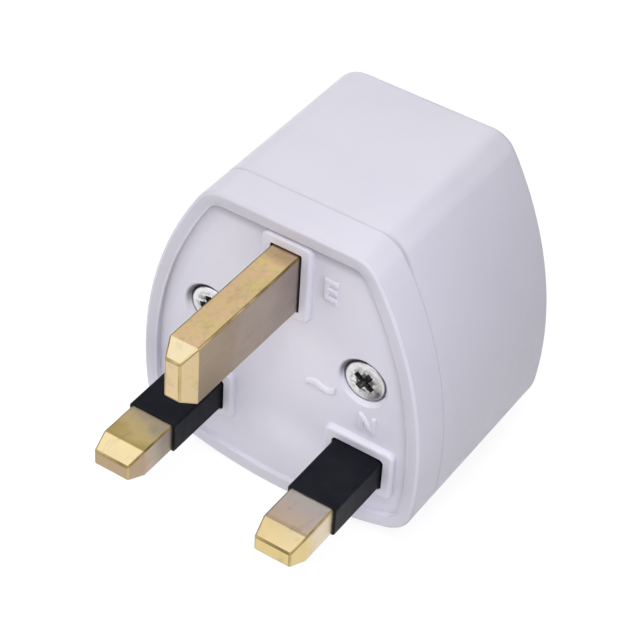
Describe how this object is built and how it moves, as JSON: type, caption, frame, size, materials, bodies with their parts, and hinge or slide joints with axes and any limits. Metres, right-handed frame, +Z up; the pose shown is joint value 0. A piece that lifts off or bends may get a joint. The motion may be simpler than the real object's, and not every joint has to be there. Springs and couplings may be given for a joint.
{
  "type": "plug adapter",
  "caption": "Travel plug adapter: a multi-standard socket in a white moulded body that plugs in by rectangular brass earth, live and neutral blades.",
  "frame": {"origin": "on the plug face, midway between the live and neutral blades", "axes": "+Z up towards the earth blade, -Y the way the blades point, +X towards the neutral blade"},
  "size_m": [0.0384, 0.0505, 0.0401],
  "materials": {
    "white_plastic": "semi-gloss moulded",
    "pin_brass": "brushed, slightly tarnished",
    "sleeve_plastic": "satin moulded",
    "contact_brass": "rolled strip",
    "screw_nickel": "nickel plated"
  },
  "bodies": {
    "root": {"front_cover": "white_plastic", "rear_housing": "white_plastic", "earth_pin": "pin_brass", "live_pin": "pin_brass", "neutral_pin": "pin_brass", "live_pin_sleeve": "sleeve_plastic", "neutral_pin_sleeve": "sleeve_plastic", "earth_contact": "contact_brass", "live_contact": "contact_brass", "neutral_contact": "contact_brass", "case_screws": "screw_nickel"}
  },
  "joints": []
}
